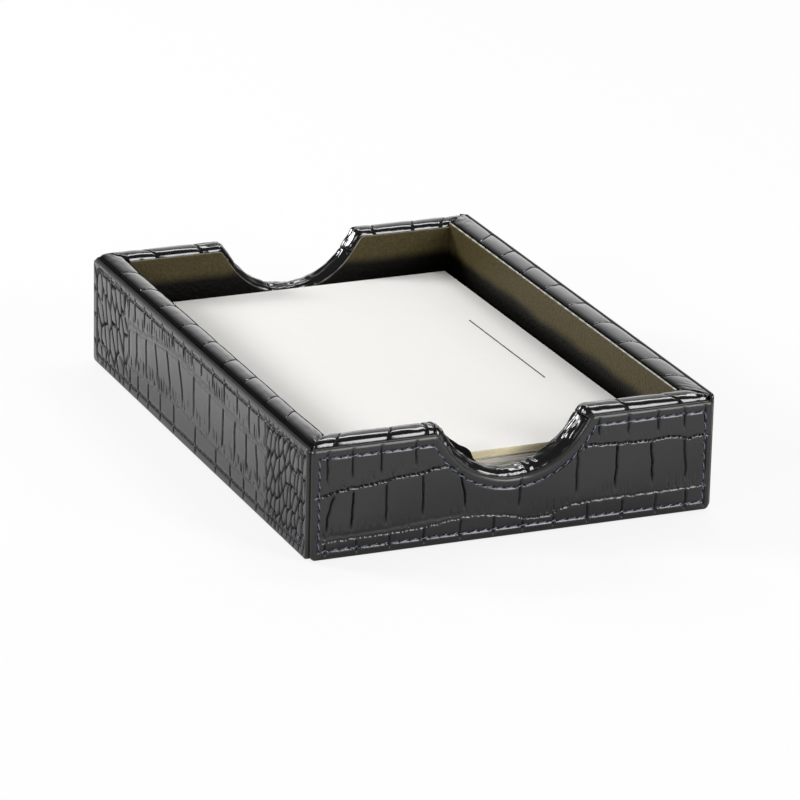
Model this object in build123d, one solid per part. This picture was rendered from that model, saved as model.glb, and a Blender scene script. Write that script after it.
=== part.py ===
from build123d import *
import math
import os

# Memo tray for loose note sheets: boarded walls with a leather rim, stitched leather panels
# outside, a smooth lining inside and a finger notch in each short wall.
# Millimetres, +Z up, origin in the middle of the underside, the near notched wall at -Y.

# Note sheets, which set the size of the tray
sheet_width = 101.6
sheet_length = 152.4
side_play = 2.6
end_play = 5.2
lower_notes_height = 13.0
upper_notes_height = 2.4
upper_notes_turn = 0.5  # degrees that the upper sheets lie askew

# Layers of a wall, from the outside in
panel_leather_thickness = 1.0
panel_backing_thickness = 0.6
core_thickness = 7.0
lining_thickness = 1.0

# Layers of the bottom, from the desk up
base_cover_thickness = 1.0
base_board_thickness = 4.0
base_cover_inset = 0.8
base_cover_corner = 2.0

# Depth of the well, and how far the edges of the layers sit below the crown of the rim
well_depth = 29.7
panel_drop = 2.1
lining_drop = 1.7
right_panel_drop = 0.4  # the right wall's layers stand nearly level with its rim
right_lining_drop = 0.5
lining_bevel = 0.4
panel_lift = 0.5  # underside of the panels above the desk

# Leather rim, wrapped over the core with a leg let in flush on each side
rim_leather_thickness = 0.8
rim_leg = 8.0
rim_round = 2.4
rim_corner = 1.5
core_bevel = 0.95

# Finger notch, measured along the crown of the rim
notch_depth = 15.7
notch_radius = 22.5
notch_flank = 56.0  # degrees from level
notch_shoulder = 3.5

# Outer panels
end_panel_inset = 1.2
panel_corner = 1.5
panel_bevel = 0.4
sewing_inset = 2.8
sewing_groove_width = 0.9
sewing_groove_depth = 0.25

# Edges are picked by the place of their middle, within one small overrun
overrun = 0.05
middle_share = 0.5

# Levels and spans that follow from the sizes above
panel_thickness = panel_leather_thickness + panel_backing_thickness
wall_thickness = panel_thickness + core_thickness + lining_thickness
well_width = sheet_width + 2 * side_play
well_length = sheet_length + 2 * end_play
tray_width = well_width + 2 * wall_thickness
tray_length = well_length + 2 * wall_thickness
base_top = base_cover_thickness + base_board_thickness
floor_top = base_top + lining_thickness
rim_top = floor_top + well_depth
core_width = tray_width - 2 * panel_thickness
core_length = tray_length - 2 * panel_thickness
board_width = core_width - 2 * core_thickness
board_length = core_length - 2 * core_thickness
flank = math.radians(notch_flank)
notch_centre = rim_top - notch_depth + notch_radius

# Half spans of an end wall and of a side wall: the core along the wall, the core across the
# tray, the outer panel and the lining. The end walls are notched and the side walls are plain.
end_wall = (core_width / 2, core_length / 2, tray_width / 2 - end_panel_inset, well_width / 2, True)
side_wall = (core_length / 2, core_width / 2, core_length / 2, board_length / 2, False)

# The four walls, each with the direction in which its own left-to-right runs seen from outside and
# the depths of its panel's and its lining's top edge below the crown
walls = [
    ("front", (1, 0, 0), end_wall, panel_drop, lining_drop),
    ("right", (0, 1, 0), side_wall, right_panel_drop, right_lining_drop),
    ("back", (-1, 0, 0), end_wall, panel_drop, lining_drop),
    ("left", (0, -1, 0), side_wall, panel_drop, lining_drop),
]


def notch_edges(drop, side):
    """Half of the notch line at a depth below the crown, from the top down to the middle."""
    top = rim_top - drop
    radius = notch_radius + drop
    shoulder = max(notch_shoulder - drop, 0)
    foot_x = radius * math.sin(flank)
    foot_z = notch_centre - radius * math.cos(flank)
    corner_x = foot_x + (top - foot_z) / math.tan(flank)
    reach = shoulder * math.tan(flank / 2)
    start = (side * (corner_x + reach), top)
    flank_top = (side * (corner_x - reach * math.cos(flank)), top - reach * math.sin(flank))
    foot = (side * foot_x, foot_z)
    middle = (0, notch_centre - radius)
    half_way = (side * radius * math.sin(flank / 2), notch_centre - radius * math.cos(flank / 2))
    edges = [Line(flank_top, foot), ThreePointArc(foot, half_way, middle)]
    if shoulder > 0:
        bend = (side * (corner_x + reach - shoulder * math.sin(flank / 2)),
                top - shoulder + shoulder * math.cos(flank / 2))
        edges.insert(0, ThreePointArc(start, bend, flank_top))
    return start, edges


def wall_face(half_span, bottom, drop, notched, corner=0):
    """Upright face of a wall layer, its top edge a set depth below the crown of the rim."""
    top = rim_top - drop
    edges = [Line((-half_span, bottom), (half_span, bottom))]
    edges.append(Line((half_span, bottom), (half_span, top)))
    edges.append(Line((-half_span, bottom), (-half_span, top)))
    if notched:
        for side in (-1, 1):
            start, half = notch_edges(drop, side)
            edges.append(Line((side * half_span, top), start))
            edges.extend(half)
    else:
        edges.append(Line((-half_span, top), (half_span, top)))
    face = make_face(edges)
    if corner > 0:
        ends = [v for v in face.vertices() if abs(v.X) > half_span - overrun]
        face = fillet(ends, corner)
    return face


def wall_slab(face, outer, thickness):
    """A wall layer: the face given a thickness inward from its distance in front of centre."""
    return extrude(Plane.XZ.offset(outer - thickness) * face, thickness)


def crest_edges(slab, half_span, bottom, levels):
    """Edges of a slab along its top line, on the faces at the given distances from centre."""
    picked = []
    for edge in slab.edges():
        middle = edge @ middle_share
        on_face = any(abs(middle.Y + level) < overrun for level in levels)
        if on_face and abs(middle.X) < half_span - overrun and middle.Z > bottom + overrun:
            picked.append(edge)
    return picked


def mitre_block(half_span, half_depth):
    """Block that trims a wall to its mitred ends and to the eased corners of the tray."""
    plan = Polyline(
        (-half_span, -half_depth),
        (half_span, -half_depth),
        (half_span - core_thickness, core_thickness - half_depth),
        (core_thickness - half_span, core_thickness - half_depth),
        close=True,
    )
    corners = RectangleRounded(2 * half_span, 2 * half_depth, rim_corner)
    return extrude(make_face(plan) & corners, rim_top)


def wall_core(half_span, half_depth, notched):
    """Board of a wall, stepped in near the top for the legs of the rim and bevelled there."""
    bottom = base_cover_thickness
    body_face = wall_face(half_span, bottom, rim_leg, notched)
    body = wall_slab(body_face, half_depth, core_thickness)
    tongue_outer = half_depth - rim_leather_thickness
    tongue_inner = half_depth - core_thickness + rim_leather_thickness
    tongue_face = wall_face(half_span, bottom, rim_leather_thickness, notched)
    tongue = wall_slab(tongue_face, tongue_outer, tongue_outer - tongue_inner)
    crest = crest_edges(tongue, half_span, bottom, (tongue_outer, tongue_inner))
    return body + chamfer(crest, core_bevel)


def wall_rim(core, half_span, half_depth, notched):
    """Leather strip folded over the board and round the notch, a channel down to its legs."""
    bottom = base_cover_thickness
    slab = wall_slab(wall_face(half_span, bottom, 0, notched), half_depth, core_thickness)
    crest = crest_edges(slab, half_span, bottom, (half_depth, half_depth - core_thickness))
    return fillet(crest, rim_round) - core


def sewing_line(half_span, inset, drop, notched):
    """Face inside a line that follows the edge of a panel at an even inset."""
    return wall_face(half_span - inset, panel_lift + inset, drop + inset, notched)


def panel_leather(half_span, outer, drop, notched):
    """Outer leather panel with softened edges and a shallow groove for the sewing."""
    face = wall_face(half_span, panel_lift, drop, notched, panel_corner)
    slab = wall_slab(face, outer, panel_leather_thickness)
    front_edges = [e for e in slab.edges() if abs((e @ middle_share).Y + outer) < overrun]
    slab = chamfer(front_edges, panel_bevel)
    groove_rim = sewing_line(half_span, sewing_inset - sewing_groove_width / 2, drop, notched)
    groove_island = sewing_line(half_span, sewing_inset + sewing_groove_width / 2, drop, notched)
    return slab - wall_slab(groove_rim - groove_island, outer, sewing_groove_depth)


def panel_backing(half_span, outer, drop, notched):
    """Stiff backing that the leather panel is sewn to."""
    face = wall_face(half_span, panel_lift, drop, notched, panel_corner)
    return wall_slab(face, outer - panel_leather_thickness, panel_backing_thickness)


def wall_lining(half_span, outer, drop, notched):
    """Smooth lining on the inner face of a wall, its top edge eased below the rim."""
    face = wall_face(half_span, base_top, drop, notched)
    slab = wall_slab(face, outer, lining_thickness)
    crest = crest_edges(slab, half_span, base_top, (outer - lining_thickness,))
    return chamfer(crest, lining_bevel)


def base_cover():
    """Thin cloth under the tray, kept back from the panels."""
    width = core_width - 2 * base_cover_inset
    length = core_length - 2 * base_cover_inset
    return extrude(RectangleRounded(width, length, base_cover_corner), base_cover_thickness)


def bottom_layer(width, length, bottom, thickness):
    """Flat layer of the bottom between the walls."""
    return Pos(0, 0, bottom) * extrude(Rectangle(width, length), thickness)


def note_pile(bottom, height, turn):
    """Squared pile of loose note sheets, turned a little about its middle."""
    return Pos(0, 0, bottom) * Rot(0, 0, turn) * extrude(Rectangle(sheet_width, sheet_length), height)


def build():
    """Every piece of the tray by its name."""
    pieces = {}
    for name, along, spans, panel_depth, lining_depth in walls:
        half_span, half_depth, panel_span, lining_span, notched = spans
        place = Plane(origin=(0, 0, 0), x_dir=along, z_dir=(0, 0, 1))
        outer = half_depth + panel_thickness
        inner = half_depth - core_thickness
        trim = mitre_block(half_span, half_depth)
        core = wall_core(half_span, half_depth, notched)
        rim = wall_rim(core, half_span, half_depth, notched)
        pieces[name + "_core"] = place * (core & trim)
        pieces[name + "_rim"] = place * (rim & trim)
        pieces[name + "_panel_leather"] = place * panel_leather(panel_span, outer, panel_depth, notched)
        pieces[name + "_panel_backing"] = place * panel_backing(panel_span, outer, panel_depth, notched)
        pieces[name + "_lining"] = place * wall_lining(lining_span, inner, lining_depth, notched)
    pieces["base_cover"] = base_cover()
    pieces["base_board"] = bottom_layer(
        board_width, board_length, base_cover_thickness, base_board_thickness
    )
    pieces["floor_lining"] = bottom_layer(well_width, well_length, base_top, lining_thickness)
    pieces["lower_notes"] = note_pile(floor_top, lower_notes_height, 0)
    pieces["upper_notes"] = note_pile(
        floor_top + lower_notes_height, upper_notes_height, upper_notes_turn
    )
    return pieces


os.makedirs("parts", exist_ok=True)
for node, solid in build().items():
    solid.label = node
    export_step(solid, "parts/" + node + ".step")
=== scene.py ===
import math
from collections import namedtuple

import bpy
import numpy as np
from bpy.props import FloatProperty, FloatVectorProperty, PointerProperty
from mathutils import Matrix, Vector


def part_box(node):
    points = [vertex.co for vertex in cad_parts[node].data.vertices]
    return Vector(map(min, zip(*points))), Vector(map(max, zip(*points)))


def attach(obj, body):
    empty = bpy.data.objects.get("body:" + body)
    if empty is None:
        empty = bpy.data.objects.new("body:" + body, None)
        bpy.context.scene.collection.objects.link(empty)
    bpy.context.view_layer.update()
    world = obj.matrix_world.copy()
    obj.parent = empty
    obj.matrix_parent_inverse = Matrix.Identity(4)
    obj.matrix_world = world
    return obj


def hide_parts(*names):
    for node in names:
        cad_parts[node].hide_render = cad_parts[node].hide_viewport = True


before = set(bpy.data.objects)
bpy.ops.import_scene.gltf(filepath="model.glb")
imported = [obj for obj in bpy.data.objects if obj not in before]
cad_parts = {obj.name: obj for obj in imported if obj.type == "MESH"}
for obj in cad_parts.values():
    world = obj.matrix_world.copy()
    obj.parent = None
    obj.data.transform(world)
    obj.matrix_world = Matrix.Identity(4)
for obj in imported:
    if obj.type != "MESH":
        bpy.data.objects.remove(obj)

# Memo tray dressed for the eye: embossed leather panels, their sewing, rolled rims, linings and
# loose note sheets, all set on the solids of the frame. Shapes are worked out in millimetres.

bl_info = {
    "name": "Memo tray",
    "version": (1, 0, 0),
    "blender": (4, 5, 0),
    "location": "3D View > Sidebar > Memo tray",
    "description": "Leather, sewing, linings and note sheets of a desk memo tray",
    "category": "Object",
}

MM = 0.001
X, Y, Z = 0, 1, 2
LOW, HIGH = 0, 1
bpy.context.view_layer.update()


def limit(node, end, axis):
    """One face of a CAD node's box, in millimetres from the tray's middle."""
    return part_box(node)[end][axis] / MM


# Levels and faces of the solids that the dressed pieces sit on
CROWN = limit("left_rim", HIGH, Z)
PANEL_FOOT = limit("left_panel_leather", LOW, Z)
LINING_FOOT = limit("left_lining", LOW, Z)
LOWER_NOTES_FOOT = limit("lower_notes", LOW, Z)
UPPER_NOTES_FOOT = limit("upper_notes", LOW, Z)
UPPER_NOTES_TOP = limit("upper_notes", HIGH, Z)
SHEET_HALF = (limit("lower_notes", HIGH, X), limit("lower_notes", HIGH, Y))
PANEL_LEATHER = limit("left_panel_leather", HIGH, X) - limit("left_panel_leather", LOW, X)
LINING_LEATHER = limit("left_lining", HIGH, X) - limit("left_lining", LOW, X)
BOARD = limit("left_lining", LOW, X) - limit("left_panel_backing", HIGH, X)

# Finger notch along the crown, as on the solids, with a softer shoulder
NOTCH_DEPTH = 15.7
NOTCH_RADIUS = 22.5
NOTCH_FLANK = math.radians(56)
NOTCH_SHOULDER = 2.4
SHOULDER_TAPER = 0.3
LEAST_SHOULDER = 0.3
NOTCH_CENTRE = CROWN - NOTCH_DEPTH + NOTCH_RADIUS

# A wall: the direction that runs left to right seen from outside, the half span and outer face
# of its board, of its panel and of its lining, whether it is notched, and the last two's tops
Wall = namedtuple("Wall", "name along half out panel_half panel_out lining_half lining_in "
                          "notched panel_top lining_top")


def read_wall(name, along, like, beside, run, deep, notched):
    """A wall from the boxes of the solids: spans of a like wall and the one beside it, own tops."""
    panel, lining = like + "_panel_leather", like + "_lining"
    return Wall(name, along, -limit(beside + "_panel_backing", HIGH, run),
                -limit(like + "_panel_backing", HIGH, deep), limit(panel, HIGH, run),
                -limit(panel, LOW, deep), limit(lining, HIGH, run), -limit(lining, HIGH, deep),
                notched, limit(name + "_panel_leather", HIGH, Z), limit(name + "_lining", HIGH, Z))


END_WALL = ("front", "left", X, Y, True)
SIDE_WALL = ("left", "front", Y, X, False)
WALLS = [read_wall("front", (1, 0), *END_WALL), read_wall("right", (0, 1), *SIDE_WALL),
         read_wall("back", (-1, 0), *END_WALL), read_wall("left", (0, -1), *SIDE_WALL)]
FACING_AWAY = ("right", "back")

# Embossed crocodile pattern, as lines given in millimetres along a wall and up it.
# long: wavy beaded lines between the rows of scales, with a depth share. soft: the same, broad
# and plain. upper, lower: the levels that part the rows. top, main, foot: lines across a row, each
# the place of its upper end, of its lower end and its bow, or one place if upright. cut: their
# depth shares. lip: the side on which they are raised, which changes beyond lip_turns. pebbled:
# where zones of small scales begin, the size of a scale along and up the wall and its lean.
# streak: depth share of the short wrinkles at the foot of the scales.
END_PATTERN = {
    "streak": 0.38,
    "cut": {"top": 0.76, "main": 0.86, "foot": 0.74},
    "lip": -1,
    "lip_turns": 8,
    "soft": [
        ([(-61, 7.5), (-58.5, 7.4), (-49.8, 7.2), (-39, 7.5), (-27.9, 8.6), (-16.9, 8.9),
          (-10, 8.6)], 0.26),
    ],
    "long": [
        ([(-62, 19.2), (-59.4, 19.5), (-52, 21.0), (-43.8, 21.5), (-39.6, 22.0), (-35.4, 22.7),
          (-29.3, 22.9), (-23.2, 24.1), (-20.5, 24.1), (-17.5, 22.2)], 1.0),
        ([(20.5, 23.6), (22.5, 25.1), (27, 24.7), (32, 24.4), (37, 24.2), (43, 24.0), (47, 24.5),
          (51, 24.3), (54, 23.1), (57, 23.9), (62, 23.3)], 1.0),
        ([(-62, 5.6), (-55, 5.9), (-48, 6.1), (-41, 6.1), (-33, 6.3), (-27, 6.6), (-23, 7.1),
          (-18, 7.8), (-13, 8.2), (-8, 7.8), (-5, 7.2)], 0.4),
        ([(-7, 7.7), (-5, 7.2), (-2, 7.0), (1, 6.1), (3, 5.3), (9, 5.1), (12, 5.3), (14, 6.6),
          (17, 7.4), (22, 7.9), (27, 8.1), (47, 8.1), (62, 8.3)], 0.6),
    ],
    "upper": [(-62, 19.4), (-43, 21.2), (-23, 23.3), (-17, 22.0), (20, 24.0), (22.5, 25.1),
              (37, 24.2), (62, 23.3)],
    "lower": [(-62, 5.6), (-33, 6.3), (-13, 8.2), (-2, 7.0), (3, 5.3), (12, 5.3), (17, 7.4),
              (62, 8.2)],
    "top": [-57, -49.5, (-41, -41, 0.2), (-30.5, -30.2, 0), 26, (35.3, 35.1, 0), (44.5, 44.6, 0),
            (52.7, 52.9, 0), (59.3, 59.5, 0)],
    "main": [(-54.6, -57, -0.9), (-49, -49.7, 0), (-39, -39.1, 0), (-28, -27.8, 0),
             (-16.7, -15, 0.5), (2.4, 1.5, 0), (19.6, 19.4, 0), (32, 31.5, 0), (42.5, 43.3, 0.2),
             (53, 54, 0.1), 60],
    "foot": [-57.5, (-48, -47.8, 0), -38, (-27.5, -27.4, 0), -16.3, (-6, -6.1, 0), (3, 3.1, 0),
             (12.5, 12.6, 0), (23, 23.2, 0), 34, (44.5, 44.6, 0), 54, 60],
    "pebbled": [],
}
SIDE_PATTERN = {
    "streak": 0.8,
    "cut": {"top": 1.0, "main": 1.0, "foot": 0.85},
    "lip": -1,
    "lip_turns": math.inf,
    "soft": [
        ([(-61, 19.5), (-57, 22.6), (-54.6, 23.7), (-47.5, 23.8), (-40.4, 24.7), (-32.4, 25.9),
          (-20.2, 26.9), (-10.1, 27.1), (0, 26.0), (9.1, 25.6), (22.2, 24.7), (40.4, 23.3),
          (54.6, 22.4), (61, 22.0)], 0.34),
    ],
    "long": [
        ([(-58, 20.0), (-54.6, 21.8), (-47.5, 22.2), (-40.4, 23.0), (-32.4, 24.2), (-20.2, 25.2),
          (-10.1, 25.5), (0, 24.4), (9.1, 24.0), (22.2, 23.1), (40.4, 21.7), (54.6, 20.9),
          (60, 20.6)], 0.34),
        ([(-61, 9.2), (-47.5, 9.6), (-32.4, 10.1), (-20.2, 10.5), (-10.1, 11.3), (0, 10.1),
          (12.1, 9.4), (27.3, 8.7), (42.5, 8.5), (58.7, 7.8), (62, 7.6)], 0.45),
    ],
    "upper": [(-61, 19.5), (-54.6, 22.6), (-40.4, 23.8), (-20.2, 26.0), (-10.1, 26.3), (9.1, 24.8),
              (61, 21.4)],
    "lower": [(-61, 9.2), (-20.2, 10.5), (-10.1, 11.3), (0, 10.1), (27.3, 8.7), (62, 7.6)],
    "top": [(-56.5, -56.8, 0), -51.3, -43, (-36.6, -36.4, 0), -27.3, (-18.7, -18.5, 0), -9.1, -2,
            5.8, 15.2, 24.6, 35.1, (44.5, 44.7, 0), (52.0, 53.2, -0.4), (57.0, 58.6, -0.4)],
    "main": [-56.6, (-49.7, -49.9, 0), (-41.5, -41.3, 0), (-33.6, -30.8, 0.3), (-23.8, -20.1, 0.5),
             (-13.7, -9.5, 0.6), (-0.5, -0.4, 0), 12.7, (23.9, 23.3, 0), 33.3, (42.5, 42.6, 0),
             (50, 52, 0.2), (57.4, 59.3, 0.3)],
    "foot": [-55.6, -48.5, -39.4, -28.8, -17.2, (1, 1.1, 0), 18.2, 30, 40.9, 51, 58],
    "pebbled": [(-58, 4.0, 8.0, 0.22), (58, 3.0, 6.0, -0.2)],
}
ROWS = ("top", "main", "foot")

# Panels of the end and the side walls: the sewing's distance from the ends, foot and top, depth of
# its groove, how deep the stitches lie, height of the lips and stretch of the grid upwards
PanelMake = namedtuple("PanelMake", "at_ends at_foot at_top groove bed lip stretch")
END_PANEL = PanelMake(2.3, 2.7, 2.8, 0.2, 0, 0.09, 1)
SIDE_PANEL = PanelMake(3.7, 3.2, 2.5, 0.5, 0.34, 0.14, 1.5)
# How much of a panel's cut edge shows its olive dressing, the rest being dyed black; the left
# wall's smaller share is painted shade
EDGE_DRESSING_AND_SHADE = {"front": 0.85, "right": 0.1, "back": 0.85, "left": 0.55}
# Shares of a line's depth beyond which the glaze is thin, and beyond which the leather is bare
# Both finishes are duller and painted darker: shade painted into the lines
DULL_AND_SHADED_FROM, BARE_AND_SHADED = (0.36, 0.7), 2
# How much of the lining's pale cut edge shows on each wall: a real pale edge, partly a painted
# highlight, its share per wall set by where light catches the bead
EDGE_PALE_AND_GLEAM = {"front": 0.15, "right": 1.0, "back": 0.3, "left": 0.0}
# How far the lining was trimmed below its line, hidden by the rim
LINING_TRIM = {"left": 0.9}
# Depth over which a sheet's rear edge slopes back
SLOPE_OVER = 0.2

# Half the section of a rim, from its leg up to its crown, as distances beyond the face of its
# board and depths below the crown: a straight leg, a full roll and a faintly domed crown
RIM_ROLL = [(0, 8.0), (0, 5.4), (0, 3.4), (0, 2.4), (-0.08, 1.82), (-0.28, 1.32), (-0.56, 0.93),
            (-0.92, 0.62), (-1.4, 0.36), (-1.95, 0.17), (-2.6, 0.06)]
# How far the outer roll is filled up beside a panel that is level with the crown
RIM_FILL = {"right": 0.76}
# Depths from which the outer and the inner side of a rim take the unglazed finish: the turned-in
# legs, and on the left rim and the right rim's inner side a dark band of painted shade
RIM_BARE_AND_SHADE_FROM = {"front": (2.6, 2.6), "right": (2.6, 0.7), "back": (2.6, 2.6), "left": (0.85, 0.24)}
# Slope of a crown down to its inner side
RIM_LEAN = {"left": 0.06}
# Creases across the rims, by their place along each wall and their slant over the crown
RIM_CREASES = {
    "front": [(-54.7, 0.1), (-37.9, 0.05), (-26.5, 0.1), (34.8, -0.1), (51.0, 0.2)],
    "back": [(-56.1, 0.1), (-44.4, 0.1), (-28.8, -0.1), (31.0, 0.1), (48.7, -0.05)],
    "left": [(-70.5, 0.2), (-52.9, 0.15), (-36.2, 0.2), (-17.4, 0.1), (0.4, 0.2), (18.0, 0.1),
             (34.8, 0.2), (52.6, 0.15), (67.3, 0.2)],
    "right": [(-75.0, 0.25), (-58.3, 0.35), (-42.5, 0.2), (-23.3, 0.1), (-4.2, 0.15), (14.2, 0.1),
              (32.1, 0.15), (49.2, 0.1), (66.2, 0.1)],
}
# Folds where a rim turns through its notch, by their distance from the middle of its bottom
NOTCH_FOLDS = {"front": [4.0, 26.5, -30.0], "back": [-21.5, 20.5, 7.0]}
# Leather gathered in a notch: from and to along the rim, and how far it stands into the opening
NOTCH_GATHERS = {"front": [(-27.0, -10.0, 2.3)]}
# Tight puckers in a notch: the middle of their patch along the rim, its half length, their height
NOTCH_PUCKERS = {"front": [(5.6, 2.6, 0.14), (-3.0, 6.0, 0.04)], "back": [(0.0, 6.0, 0.05)]}
# Sharp folds along a notch: from and to along it, where across it they start and end, height
NOTCH_RIDGES = {
    "front": [(7.0, 33.0, -1.6, 0.7, 0.3), (12.0, 31.0, 1.2, 2.2, 0.22),
              (5.0, 30.0, -2.9, -2.6, 0.2), (-24.0, -7.0, 2.4, 1.6, 0.24)],
    "back": [(-30.0, -12.0, -1.0, 1.0, 0.26), (13.0, 30.0, 0.6, -1.2, 0.26)],
}
# Points along the parts of half a notched line and of half a notched rim, and along a plain one
LINE_STATIONS, RIM_STATIONS, PLAIN_STATIONS = (28, 6, 10, 2), (76, 36, 16, 110), 300

# Turn of the upper sheets in degrees, and how far the top one lies below its printed rule
SHEET_TURN, RULE_STANDS = 0.5, 0.02


def linear(code):
    """Scene-linear colour of an sRGB hex value."""
    srgb = np.array([int(code[k:k + 2], 16) / 255 for k in (1, 3, 5)])
    values = np.where(srgb <= 0.04045, srgb / 12.92, ((srgb + 0.055) / 1.055) ** 2.4)
    return tuple(float(v) for v in values)


def length(name, description, millimetres):
    """A size that a user may change, given in millimetres."""
    return FloatProperty(name=name, description=description, default=millimetres * MM,
                         unit="LENGTH", precision=5)


def colour(name, description, code):
    """A colour that a user may change, given as an sRGB hex value."""
    return FloatVectorProperty(name=name, description=description, default=linear(code), size=3,
                               min=0, max=1, subtype="COLOR")


def strength(name, description, value):
    """A brightness that a user may change."""
    return FloatProperty(name=name, description=description, default=value, min=0)


class TraySizes(bpy.types.PropertyGroup):
    """Sizes of the leather work, the sewing and the sheets."""
    spacing: length("Grid spacing", "Distance between points of the embossed surfaces", 0.221)
    crease_depth: length("Crease depth", "Depth of the embossed lines", 0.6)
    crease_width: length("Crease width", "Half width of the embossed lines", 0.34)
    swell: length("Scale swell", "How far the middle of a scale stands above its edges", 0.12)
    edge_round: length("Edge round", "Width of the rounded top edge of a panel", 1.3)
    stitch_pitch: length("Stitch pitch", "Distance from one stitch to the next", 3.08)
    thread: length("Thread", "Thickness of the sewing thread", 0.44)
    rim_crease: length("Rim crease", "Depth of the creases across the rims", 0.28)
    rim_puff: length("Rim puff", "How far a rim swells between its creases", 0.16)
    sheet: length("Sheet", "Thickness of one note sheet", 0.27)


class TrayColours(bpy.types.PropertyGroup):
    """Colours of the finishes."""
    leather: colour("Leather", "Black dye of the embossed panels", "#0e0d10")
    rim: colour("Rim leather", "Black dye of the rims", "#0b0b0c")
    edge: colour("Cut edge", "Dressed edge of the panels and their backing", "#201f1b")
    lining: colour("Lining", "Olive brown of the lining leather", "#494128")
    # Pale cut edge of the lining, partly a painted highlight where it is strongest
    lining_edge: colour("Lining edge", "Pale cut edge of the lining leather", "#c4c4bc")
    thread: colour("Thread", "Blue sewing thread of the end panels", "#5e667b")
    # The side panels are sewn with the same thread as the ends; this darker copy is painted shade
    shaded_side_thread: colour("Side thread", "Navy sewing thread of the side panels", "#232a42")
    paper: colour("Paper", "Face of the note sheets", "#f2f1ed")
    sheet_edge: colour("Sheet edge", "Cut edges of the upper sheets", "#fff1c6")
    lower_edge: colour("Lower sheet edge", "Cut edges of the lower sheets", "#fff8ea")
    rule: colour("Printed rule", "Ink of the thin rule on the top sheet", "#2b2b2e")
    board: colour("Board", "Grey board inside the walls", "#6d675c")
    cloth: colour("Base cloth", "Cloth under the tray", "#18181a")


class TrayStudio(bpy.types.PropertyGroup):
    """Floor and light of the studio."""
    floor: colour("Floor", "Pale floor", "#f4f4f4")
    sky: strength("Room light", "Brightness of the room", 0.13)
    wall: strength("Back wall", "Brightness added by the wall behind", 1.05)
    lamps: strength("Lamps", "Share of the lamps' power", 1.0)


# Meshes

# Turn beyond which an edge stays sharp
SHARP_FROM = math.radians(58)


def put(name, finishes, body, slot, replaces, points, faces, layers=None, picks=None):
    """Makes a piece from points in millimetres and arrays of faces, and rides it on its body."""
    mesh = bpy.data.meshes.new(name)
    corners = np.concatenate([f.ravel() for f in faces])
    sides = np.concatenate([np.full(len(f), f.shape[1]) for f in faces])
    mesh.vertices.add(len(points))
    mesh.vertices.foreach_set("co", (points * MM).astype(np.float32).ravel())
    mesh.loops.add(len(corners))
    mesh.loops.foreach_set("vertex_index", corners.astype(np.int32))
    mesh.polygons.add(len(sides))
    mesh.polygons.foreach_set("loop_start", (np.cumsum(sides) - sides).astype(np.int32))
    for finish in finishes:
        mesh.materials.append(finish)
    if picks is not None:
        mesh.polygons.foreach_set("material_index", picks.astype(np.int32))
    for key, values in (layers or {}).items():
        layer = mesh.attributes.new(key, "FLOAT", "POINT")
        layer.data.foreach_set("value", values.astype(np.float32))
    mesh.update(calc_edges=True)
    mesh.validate()
    mesh.shade_smooth()
    mesh.set_sharp_from_angle(angle=SHARP_FROM)
    made = bpy.data.objects.new(name, mesh)
    bpy.context.scene.collection.objects.link(made)
    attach(made, body)
    if replaces:
        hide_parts(*replaces)


def stand(wall, along, out, up):
    """Points of a wall from how far along it, how far out from the tray's middle and how high."""
    along, out, up = np.broadcast_arrays(along, out, up)
    run = np.array(wall.along, float)
    outward = np.array([run[1], -run[0]])
    return np.concatenate([along[..., None] * run + out[..., None] * outward, up[..., None]], -1)


def smooth(low, high, values):
    """Soft step from nought at low to one at high."""
    share = np.clip((values - low) / (high - low), 0, 1)
    return share * share * (3 - 2 * share)


def bell(values, width):
    """Bell curve: one at nought, fading over the width."""
    return np.exp(-(values / width) ** 2)


def ripple(values, wave, seed, count=5):
    """Soft noise along a line: a sum of sines of nearby wave lengths with seeded phases."""
    draw = np.random.default_rng(seed)
    waves = wave * draw.uniform(0.6, 1.7, count)
    phases = draw.uniform(0, 2 * np.pi, count)
    return sum(np.sin(2 * np.pi * values / w + p) for w, p in zip(waves, phases)) / count ** 0.5


def crumple(a, b, wave, seed, count=9):
    """Soft noise over a surface: a sum of plane waves in seeded directions."""
    draw = np.random.default_rng(seed)
    total = 0
    for _ in range(count):
        turn = draw.uniform(0, np.pi)
        size = wave * draw.uniform(0.6, 1.6)
        phase = draw.uniform(0, 2 * np.pi)
        total = total + np.sin(2 * np.pi * (a * np.cos(turn) + b * np.sin(turn)) / size + phase)
    return total / count ** 0.5


def gap_to(s, z, line):
    """Distance from each point to a line of straight runs, the least over its runs, and how far
    along the line that nearest place lies."""
    best = np.full(s.shape, np.inf)
    along = np.zeros(s.shape)
    walked = 0.0
    for (s0, z0), (s1, z1) in zip(line[:-1], line[1:]):
        ds, dz = s1 - s0, z1 - z0
        span = math.hypot(ds, dz) + 1e-9
        share = np.clip(((s - s0) * ds + (z - z0) * dz) / span ** 2, 0, 1)
        gap = np.hypot(s - s0 - share * ds, z - z0 - share * dz)
        along = np.where(gap < best, walked + share * span, along)
        best = np.minimum(best, gap)
        walked += span
    return best, along


def walk(line):
    """How far along a line of straight runs each of its points lies."""
    return np.concatenate([[0], np.cumsum(np.hypot(*np.diff(line, axis=0).T))])


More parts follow.
